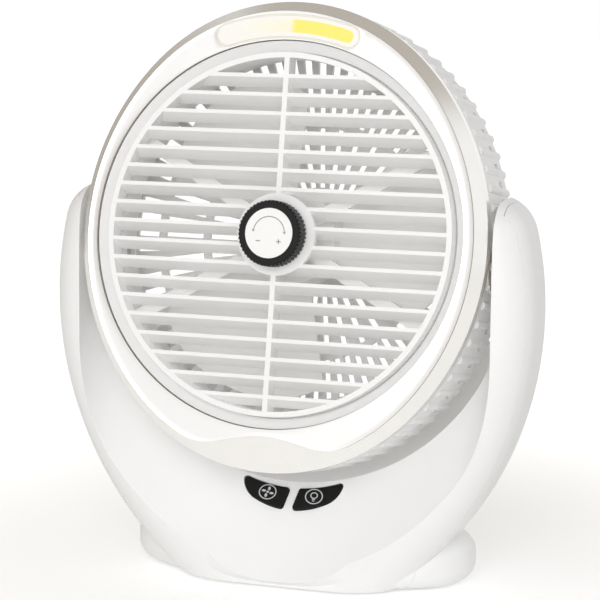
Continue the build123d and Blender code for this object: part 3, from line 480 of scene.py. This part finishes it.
bead = bmesh.new()
section = bmesh.ops.create_circle(bead, segments=section_sides, radius=bead_half_width)["verts"]
bmesh.ops.scale(bead, verts=section, vec=(1, bead_flatness, 1))
bmesh.ops.rotate(bead, verts=section, matrix=Matrix.Rotation(pi / 2, 3, "X"))
bmesh.ops.rotate(bead, verts=section, matrix=Matrix.Rotation(pi / 2 - half_lens, 3, "Z"))
outward = on_lens_line(-half_lens)
outward.z = 0
bmesh.ops.translate(
    bead, verts=section, vec=on_lens_line(-half_lens) + outward.normalized() * lens_reach
)
sweep = bead.verts[:] + bead.edges[:]
for centre, angle, steps in (
    (Vector((0, 0, 0)), 2 * half_lens, arc_steps),
    (on_lens_line(half_lens), pi, end_steps),
    (Vector((0, 0, 0)), -2 * half_lens, arc_steps),
    (on_lens_line(-half_lens), pi, end_steps),
):
    spun = bmesh.ops.spin(bead, geom=sweep, cent=centre, axis=(0, 0, 1), angle=angle, steps=steps)
    sweep = spun["geom_last"]
bmesh.ops.remove_doubles(bead, verts=bead.verts, dist=weld_reach)
bmesh.ops.recalc_face_normals(bead, faces=bead.faces)
bmesh.ops.scale(bead, verts=bead.verts, vec=(mm, mm, mm))
bmesh.ops.transform(bead, verts=bead.verts, matrix=on_head)
bead_mesh = bpy.data.meshes.new("lens_bead")
bead.to_mesh(bead_mesh)
bead.free()
bead_mesh.polygons.foreach_set("use_smooth", [True] * len(bead_mesh.polygons))
bead_mesh.materials.append(
    moulded_plastic("clear_acrylic_bead", "#F3F0E6", "#ECE8DC", 0.15, 0.8, 0.05)
)
add_piece("lens_bead", bead_mesh, "head")
print("bead faces:", len(bead_mesh.polygons))

# %% [markdown]
# The signs on the buttons and the knob are pad-printed: a layer of ink a few hundredths of a
# millimetre thick. Each sign is drawn flat with bmesh shapes, given that thickness, and moved to
# its place. A ring is a disc whose inset middle is taken out.

# %% Printing helpers


def pad_ink(name, colour, shade):
    """Matt printing ink that lies a little unevenly."""
    return moulded_plastic(name, colour, shade, 0.55, 0.3, 0.3)


light_ink = pad_ink("pad_print_ink_grey", "#C6C8C9", "#B9BBBC")
knob_ink = pad_ink("pad_print_ink_taupe", "#A39C92", "#978F85")
ink_layer = 0.03
print("ink layer, mm:", ink_layer)


def draw_disc(drawing, centre, radius, sides=40):
    """Filled disc; returns its face."""
    made = bmesh.ops.create_circle(
        drawing,
        cap_ends=True,
        segments=sides,
        radius=radius,
        matrix=Matrix.Translation((centre[0], centre[1], 0)),
    )
    return made["verts"][0].link_faces[0]


def draw_ring(drawing, centre, radius, line, sides=48):
    """Ring with its outer radius and its line's width."""
    face = draw_disc(drawing, centre, radius, sides)
    bmesh.ops.inset_individual(drawing, faces=[face], thickness=line, depth=0)
    bmesh.ops.delete(drawing, geom=[face], context="FACES")


def draw_bar(drawing, centre, width, height):
    """Filled bar; returns its corners."""
    bar = bmesh.ops.create_grid(drawing, x_segments=1, y_segments=1, size=0.5)["verts"]
    bmesh.ops.scale(drawing, verts=bar, vec=(width, height, 1))
    bmesh.ops.translate(drawing, verts=bar, vec=(*centre, 0))
    return bar


def print_sign(drawing, name, body, ink, matrix, lift):
    """Give the drawing the ink's thickness and put it on its body."""
    bmesh.ops.recalc_face_normals(drawing, faces=drawing.faces)
    for face in drawing.faces:
        if face.normal.z < 0:
            face.normal_flip()
    raised = bmesh.ops.extrude_face_region(drawing, geom=drawing.faces[:], use_keep_orig=True)
    lifted = [part for part in raised["geom"] if isinstance(part, bmesh.types.BMVert)]
    bmesh.ops.translate(drawing, verts=lifted, vec=(0, 0, ink_layer))
    bmesh.ops.recalc_face_normals(drawing, faces=drawing.faces)
    bmesh.ops.translate(drawing, verts=drawing.verts, vec=(0, 0, lift))
    bmesh.ops.scale(drawing, verts=drawing.verts, vec=(mm, mm, mm))
    bmesh.ops.transform(drawing, verts=drawing.verts, matrix=matrix)
    mesh = bpy.data.meshes.new(name)
    drawing.to_mesh(mesh)
    drawing.free()
    mesh.materials.append(ink)
    add_piece(name, mesh, body)
    print(name, "faces:", len(mesh.polygons))


# %% [markdown]
# The fan button shows a small blade wheel in a circle, the light button a bulb in a circle. Both
# are common pictograms, here in plain strokes. On the fan they are a little wider than tall.

# %% Fan sign
button_top = 1.7
sign_radius = 4.1
sign_flatness = 0.84
stroke = 0.5
fan_sign_middle = (-10.1, 0.9)
hub_radius = 0.6
petals = 4
petal_place = (0.55, 1.85, 0)
petal_slimness = 0.62


def flatten_sign(drawing, centre):
    """Make a sign a little wider than it is tall, about its own middle."""
    to_middle = Matrix.Translation((-centre[0], -centre[1], 0))
    bmesh.ops.scale(drawing, verts=drawing.verts, vec=(1, sign_flatness, 1), space=to_middle)


fan_drawing = bmesh.new()
draw_ring(fan_drawing, fan_sign_middle, sign_radius, stroke)
draw_disc(fan_drawing, fan_sign_middle, hub_radius, 16)
petal = draw_disc(fan_drawing, (0, 0), 1.0, 18)
petal_verts = list(petal.verts)
bmesh.ops.scale(fan_drawing, verts=petal_verts, vec=(petal_slimness, 1.0, 1.0))
bmesh.ops.translate(fan_drawing, verts=petal_verts, vec=petal_place)
bmesh.ops.translate(fan_drawing, verts=petal_verts, vec=(*fan_sign_middle, 0))
bmesh.ops.spin(
    fan_drawing,
    geom=[petal],
    cent=(*fan_sign_middle, 0),
    axis=(0, 0, 1),
    angle=2 * pi * (petals - 1) / petals,
    steps=petals - 1,
    use_duplicate=True,
)
flatten_sign(fan_drawing, fan_sign_middle)
print_sign(fan_drawing, "fan_sign", "fan_key", light_ink, on_console, button_top)

# %% Light sign
light_sign_middle = (11.5, 0.6)
bulb_radius = 1.75
bulb_lift = 0.55
base_bars = ((1.5, -1.55), (1.0, -2.35))
base_bar_line = 0.42
light_drawing = bmesh.new()
draw_ring(light_drawing, light_sign_middle, sign_radius, stroke)
bulb_across, bulb_middle = light_sign_middle
draw_ring(light_drawing, (bulb_across, bulb_middle + bulb_lift), bulb_radius, stroke)
for width, drop in base_bars:
    draw_bar(light_drawing, (bulb_across, bulb_middle + drop), width, base_bar_line)
flatten_sign(light_drawing, light_sign_middle)
print_sign(light_drawing, "light_sign", "light_key", light_ink, on_console, button_top)

# %% [markdown]
# On the knob's cap a fine arc with an arrowhead at each end says that it turns both ways. A minus
# on the left and a plus on the right stand for loose and tight. The arc is one short edge, spun.

# %% Knob sign
knob_drawing = bmesh.new()
arc_radius = 7.0
arc_line = 0.42
arc_pieces = 32
arrow_radius = 0.8
arrow_lead = 0.5
mark_across = 4.6
mark_drop = -3.4
mark_length = 2.0
mark_line = 0.45
knob_face = 8.6
arc_start = radians(8)
arc_end = radians(168)
across_start = Vector((cos(arc_start), sin(arc_start), 0))
foot_low = knob_drawing.verts.new(across_start * (arc_radius - arc_line / 2))
foot_high = knob_drawing.verts.new(across_start * (arc_radius + arc_line / 2))
foot_edge = knob_drawing.edges.new((foot_low, foot_high))
bmesh.ops.spin(
    knob_drawing,
    geom=[foot_low, foot_high, foot_edge],
    cent=(0, 0, 0),
    axis=(0, 0, 1),
    angle=arc_end - arc_start,
    steps=arc_pieces,
)
for angle, turn in ((arc_start, -1), (arc_end, 1)):
    head = bmesh.ops.create_circle(knob_drawing, cap_ends=True, segments=3, radius=arrow_radius)["verts"]
    heading = angle + turn * pi / 2
    tip = Vector((cos(heading), sin(heading), 0)) * arrow_lead
    foot = Vector((cos(angle), sin(angle), 0)) * arc_radius
    bmesh.ops.rotate(knob_drawing, verts=head, matrix=Matrix.Rotation(heading - pi / 2, 3, "Z"))
    bmesh.ops.translate(knob_drawing, verts=head, vec=foot + tip)
draw_bar(knob_drawing, (-mark_across, mark_drop), mark_length, mark_line)
draw_bar(knob_drawing, (mark_across, mark_drop), mark_length, mark_line)
draw_bar(knob_drawing, (mark_across, mark_drop), mark_line, mark_length)
print_sign(knob_drawing, "knob_sign", "knob", knob_ink, on_head, knob_face)

# %% [markdown]
# Ten small screws hold the fan together. They are pan-head screws with a cross recess, zinc
# plated. A grid of five by five faces makes the recess: its outer corners are rounded to a circle,
# the cross of its middle faces is pushed in, and its rim is drawn out and down to form the head
# and then the shank. One screw is made, and a copy goes to every place.

# %% One cross-recess screw
screw_head = 2.6
screw_head_height = 1.4
screw_shank = 1.4
screw_crown = 2.0
screw_side = 0.75
screw_crease = 30
recess_reach = 1.55
recess_depth = 0.9
recess_taper = 0.7
grid_faces = 5
cross_share = 0.6


def screw_form(length):
    """Mesh of one screw in millimetres, its head's seat at z = 0 and its head upward."""
    shape = bmesh.new()
    half_grid = recess_reach / cross_share
    verts = bmesh.ops.create_grid(
        shape, x_segments=grid_faces, y_segments=grid_faces, size=half_grid
    )["verts"]
    outline = [vert for vert in verts if vert.is_boundary]
    for vert in outline:
        vert.co = vert.co.normalized() * screw_crown
    middle_row = half_grid / grid_faces / 2
    cross = [
        face
        for face in shape.faces
        if min(abs(face.calc_center_median().x), abs(face.calc_center_median().y)) < middle_row
        and not any(vert.is_boundary for vert in face.verts)
    ]
    pushed = bmesh.ops.extrude_face_region(shape, geom=cross)["geom"]
    floor_verts = [part for part in pushed if isinstance(part, bmesh.types.BMVert)]
    bmesh.ops.translate(shape, verts=floor_verts, vec=(0, 0, -recess_depth))
    bmesh.ops.scale(shape, verts=floor_verts, vec=(recess_taper, recess_taper, 1))
    bmesh.ops.translate(shape, verts=shape.verts, vec=(0, 0, screw_head_height))
    steps = ((screw_head, screw_side), (screw_head, 0.0), (screw_shank, 0.0), (screw_shank, -length))
    for radius, height in steps:
        rim = [edge for edge in shape.edges if edge.is_boundary]
        drawn = bmesh.ops.extrude_edge_only(shape, edges=rim)["geom"]
        for vert in drawn:
            if isinstance(vert, bmesh.types.BMVert):
                vert.co = Vector((vert.co.x, vert.co.y, 0)).normalized() * radius
                vert.co.z = height
    rim = [edge for edge in shape.edges if edge.is_boundary]
    bmesh.ops.contextual_create(shape, geom=rim)
    bmesh.ops.recalc_face_normals(shape, faces=shape.faces)
    mesh = bpy.data.meshes.new("screw_form")
    shape.to_mesh(mesh)
    shape.free()
    return mesh


print("screw head, mm across:", 2 * screw_head)

# %% Screw sets


def screw_set(node, places, frame_matrix, length):
    """Screws at their places, given in millimetres, that stand for a node."""
    form = screw_form(length)
    shape = bmesh.new()
    for place in places:
        count = len(shape.verts)
        shape.from_mesh(form)
        shape.verts.ensure_lookup_table()
        bmesh.ops.translate(shape, verts=shape.verts[count:], vec=place)
    bmesh.ops.scale(shape, verts=shape.verts, vec=(mm, mm, mm))
    bmesh.ops.transform(shape, verts=shape.verts, matrix=frame_matrix)
    mesh = bpy.data.meshes.new(node + "_cross")
    shape.to_mesh(mesh)
    shape.free()
    shade_smooth(mesh, screw_crease)
    mesh.materials.append(zinc_plate)
    screws = add_piece(node + "_cross", mesh, body_of_node[node])
    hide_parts(node)
    print(node, "screws:", len(places), "faces:", len(mesh.polygons))


upward = Vector((0, 0, 1))
rearward = Vector((0, 1, 0))
plate_seat = 2.6 * mm
plate_screw = 5.6
shell_seat = -6.0 * mm
shell_screw = 18.5
grille_seat = 46.0 * mm
grille_screw = 10.0
from_below = placing(across, -rearward, -upward, (0, 0, plate_seat))
from_behind = placing(-across, upward, rearward, (0, shell_seat, 0))
behind_head = placing(-across, rising, -facing, louvre_centre - facing * grille_seat)
pair = (-1, 1)
bottom_places = [(x * 50, -6 + y * 8, 0) for x in pair for y in pair]
shell_places = [(x * 48, 16, 0) for x in pair]
grille_places = [(x * 56, y * 67.8, 0) for x in pair for y in pair]
screw_set("bottom_screws", bottom_places, from_below, plate_screw)
screw_set("shell_screws", shell_places, from_behind, shell_screw)
screw_set("grille_screws", grille_places, behind_head, grille_screw)

# %% [markdown]
# The charging socket is a steel shell with a thin tongue inside. The tongue is black nylon with
# gold-plated contacts on both sides. Beside the socket a small clear dome lets the charging light
# out. A linear spin, with no angle and a step along x, repeats the contacts.

# %% Tongue of the charging socket
socket_crease = 35
socket_height = 33.0
tongue_size = (6.6, 5.6, 0.7)
tongue_depth = 38.7
tongue_round = 0.15


def place_piece(shape, name, material):
    """Turn a bmesh in millimetres into a piece of the base."""
    bmesh.ops.recalc_face_normals(shape, faces=shape.faces)
    bmesh.ops.scale(shape, verts=shape.verts, vec=(mm, mm, mm))
    mesh = bpy.data.meshes.new(name)
    shape.to_mesh(mesh)
    shape.free()
    shade_smooth(mesh, socket_crease)
    mesh.materials.append(material)
    add_piece(name, mesh, "base")
    print(name, "faces:", len(mesh.polygons))


tongue = bmesh.new()
slab = bmesh.ops.create_cube(tongue, size=1.0)["verts"]
bmesh.ops.scale(tongue, verts=slab, vec=tongue_size)
bmesh.ops.bevel(
    tongue,
    geom=tongue.edges[:],
    offset=tongue_round,
    affect="EDGES",
    segments=2,
    profile=0.5,
    material=-1,
)
bmesh.ops.translate(tongue, verts=tongue.verts, vec=(0, tongue_depth, socket_height))
place_piece(tongue, "socket_tongue", switch_black)

# %% Contacts on the tongue
contact_size = (0.3, 4.0, 0.06)
contact_start = -2.45
contact_depth = 38.9
contact_lift = 0.36
contact_pitch = 0.7
contact_steps = 7
contacts = bmesh.new()
for side in (-1, 1):
    strip = bmesh.ops.create_cube(contacts, size=1.0)["verts"]
    bmesh.ops.scale(contacts, verts=strip, vec=contact_size)
    contact_place = (contact_start, contact_depth, socket_height + side * contact_lift)
    bmesh.ops.translate(contacts, verts=strip, vec=contact_place)
bmesh.ops.spin(
    contacts,
    geom=contacts.faces[:],
    cent=(0, 0, 0),
    axis=(0, 0, 1),
    dvec=(contact_pitch, 0, 0),
    angle=0,
    steps=contact_steps,
    use_duplicate=True,
)
place_piece(contacts, "socket_contacts", gold_plate)

# %% Dome of the charging light
dome_radius = 1.3
dome_flatness = 0.55
dome_place = (10, 42.2, socket_height)
dome = bmesh.new()
bmesh.ops.create_uvsphere(dome, u_segments=24, v_segments=12, radius=dome_radius)
bmesh.ops.scale(dome, verts=dome.verts, vec=(1, dome_flatness, 1))
bmesh.ops.translate(dome, verts=dome.verts, vec=dome_place)
charge_light = new_material(
    "clear_polycarbonate",
    IOR=1.58,
    Base_Color=linear("#E8EFEA"),
    Roughness=0.08,
    Subsurface_Weight=0.3,
)[0]
place_piece(dome, "charge_light", charge_light)

# %% [markdown]
# The studio: a plain pale floor in a white room with a grey ceiling and a grey wall on the left,
# which the silver paint mirrors. The room itself gives most of the light, so the shade under the
# head stays soft; a large lamp in front reaches in between the louvres, and a weaker one stands
# above on the left. To the camera the floor glows a little, more so further out, so it ends in
# plain white and still keeps the fan's shadow. Mirrors and clear plastic show it lifted as well.

# %% Floor and backdrop
floor_half = 4.0
mirrored_glow = 0.3
glow_by_distance = {"From Min": 0.08, "From Max": 0.4, "To Min": 0.3, "To Max": 0.6}
floor_material, floor_tree, floor_surface = new_material(
    "paper_backdrop", Roughness=0.9, Base_Color=linear("#FCFCFC"), Emission_Color=(1, 1, 1, 1)
)
floor_path = add_node(floor_tree, "ShaderNodeLightPath")
mirrored = add_node(
    floor_tree,
    "ShaderNodeMath",
    {"operation": "MAXIMUM"},
    {0: floor_path.outputs["Is Glossy Ray"], 1: floor_path.outputs["Is Transmission Ray"]},
)
mirrored_lift = add_node(
    floor_tree, "ShaderNodeMath", {"operation": "MULTIPLY", 1: mirrored_glow}, {0: mirrored.outputs[0]}
)
floor_place = add_node(floor_tree, "ShaderNodeTexCoord").outputs["Object"]
from_fan = add_node(floor_tree, "ShaderNodeVectorMath", {"operation": "LENGTH"}, {0: floor_place})
open_floor = add_node(
    floor_tree,
    "ShaderNodeMapRange",
    {"interpolation_type": "SMOOTHSTEP", **glow_by_distance},
    {"Value": from_fan.outputs["Value"]},
)
floor_lift = add_node(
    floor_tree,
    "ShaderNodeMath",
    {"operation": "MULTIPLY_ADD"},
    {
        0: floor_path.outputs["Is Camera Ray"],
        1: open_floor.outputs["Result"],
        2: mirrored_lift.outputs[0],
    },
)
floor_tree.links.new(floor_lift.outputs[0], floor_surface.inputs["Emission Strength"])
floor_shape = bmesh.new()
bmesh.ops.create_grid(floor_shape, x_segments=1, y_segments=1, size=floor_half)
floor_mesh = bpy.data.meshes.new("floor")
floor_shape.to_mesh(floor_mesh)
floor_shape.free()
floor_mesh.materials.append(floor_material)
floor = bpy.data.objects.new("floor", floor_mesh)
bpy.context.scene.collection.objects.link(floor)
print("floor half width, m:", floor_half)

# %% [markdown]
# The world is the room. The camera, mirrors and clear plastic see it at full strength. As a source
# of light it is a little weaker, so the white shells keep their shading.

# %% World
room_light = 0.74
world = bpy.data.worlds.new("white_studio")
bpy.context.scene.world = world
world.use_nodes = True
sky = world.node_tree
background = sky.nodes["Background"]
path = add_node(sky, "ShaderNodeLightPath")
seen = add_node(
    sky,
    "ShaderNodeMath",
    {"operation": "MAXIMUM"},
    {0: path.outputs["Is Camera Ray"], 1: path.outputs["Is Glossy Ray"]},
)
seen_or_through = add_node(
    sky,
    "ShaderNodeMath",
    {"operation": "MAXIMUM"},
    {0: seen.outputs[0], 1: path.outputs["Is Transmission Ray"]},
)
level = add_node(
    sky,
    "ShaderNodeMapRange",
    {"To Min": room_light, "To Max": 1.0},
    {"Value": seen_or_through.outputs[0]},
)
sky.links.new(level.outputs["Result"], background.inputs["Strength"])
print("room light:", room_light)

# %% [markdown]
# Silver paint shows what stands around it. A grey ceiling gives the bezel its dark top, and a grey
# wall on the left gives the band and the dished ring their darker side. Both are found from the
# direction of a ray, and the camera never sees them: to it the room is white.

# %% Grey ceiling and left wall of the room
ceiling_edge = {"From Min": 0.66, "From Max": 0.82}
wall_edge = {"From Min": -0.35, "From Max": -0.85}
direction = add_node(sky, "ShaderNodeTexCoord").outputs["Generated"]
parts = add_node(sky, "ShaderNodeSeparateXYZ", {}, {"Vector": direction}).outputs
ceiling = add_node(
    sky,
    "ShaderNodeMapRange",
    {"interpolation_type": "SMOOTHSTEP", **ceiling_edge},
    {"Value": parts["Z"]},
)
left_wall = add_node(
    sky,
    "ShaderNodeMapRange",
    {"interpolation_type": "SMOOTHSTEP", **wall_edge},
    {"Value": parts["X"]},
)
grey = add_node(
    sky,
    "ShaderNodeMath",
    {"operation": "MAXIMUM"},
    {0: ceiling.outputs["Result"], 1: left_wall.outputs["Result"]},
)
unseen_grey = add_node(
    sky,
    "ShaderNodeMath",
    {"operation": "SUBTRACT", "use_clamp": True},
    {0: grey.outputs[0], 1: path.outputs["Is Camera Ray"]},
)
room = add_node(sky, "ShaderNodeMix", {"data_type": "RGBA"}, {"Factor": unseen_grey.outputs[0]})
room.inputs[6].default_value = (1, 1, 1, 1)
room.inputs[7].default_value = linear("#B3ACA2")
sky.links.new(room.outputs[2], background.inputs["Color"])
print("room nodes:", len(sky.nodes))

# %% [markdown]
# Two large square lamps add direction to the room's even light. Large ones keep the shadows soft.

# %% Lamps


def soft_lamp(name, place, aim, size, power):
    """Square area lamp at a place, turned to its aim."""
    light = bpy.data.lights.new(name, "AREA")
    light.shape = "SQUARE"
    light.size = size
    light.energy = power
    lamp = bpy.data.objects.new(name, light)
    lamp.location = place
    lamp.rotation_euler = (Vector(aim) - Vector(place)).to_track_quat("-Z", "Y").to_euler()
    bpy.context.scene.collection.objects.link(lamp)
    print(name, "watts:", power)


fan_middle = (0, 0, 0.12)
lamp_side = 1.0
soft_lamp("front_lamp", place=(0.3, -1.5, 0.55), aim=fan_middle, size=lamp_side, power=9)
soft_lamp("key_lamp", place=(-0.7, -1.0, 1.2), aim=fan_middle, size=lamp_side, power=1.5)

# %% [markdown]
# The camera stands to the right of the fan and a little above it, as in the photograph. Its lens
# and place were fitted to the ring, the louvres and the foot.

# %% Camera
camera_data = bpy.data.cameras.new("camera")
camera_data.sensor_width = 36
camera_data.lens = 144
camera = bpy.data.objects.new("camera", camera_data)
right = Vector((0.93881, 0.34444, 0.0))
up = Vector((-0.05674, 0.15464, 0.98634))
back = right.cross(up)
from_louvre = Vector((355.6, -939.5, 139.6)) * mm
camera.matrix_world = placing(right, up, back, louvre_centre + from_louvre)
bpy.context.scene.collection.objects.link(camera)
bpy.context.scene.camera = camera
bpy.context.scene.view_settings.view_transform = "Standard"
print("camera, mm:", [round(c / mm) for c in camera.location])

# %% [markdown]
# A white room in a white housing: light goes from wall to wall many times before it fades. The
# usual four bounces would leave the inside of the head grey, so they are raised.

# %% Light bounces
bpy.context.scene.cycles.diffuse_bounces = 12
bpy.context.scene.cycles.max_bounces = 14
print("diffuse bounces:", bpy.context.scene.cycles.diffuse_bounces)

# %% [markdown]
# Last, the scene is brought up to date.

# %% Finish
bpy.context.view_layer.update()
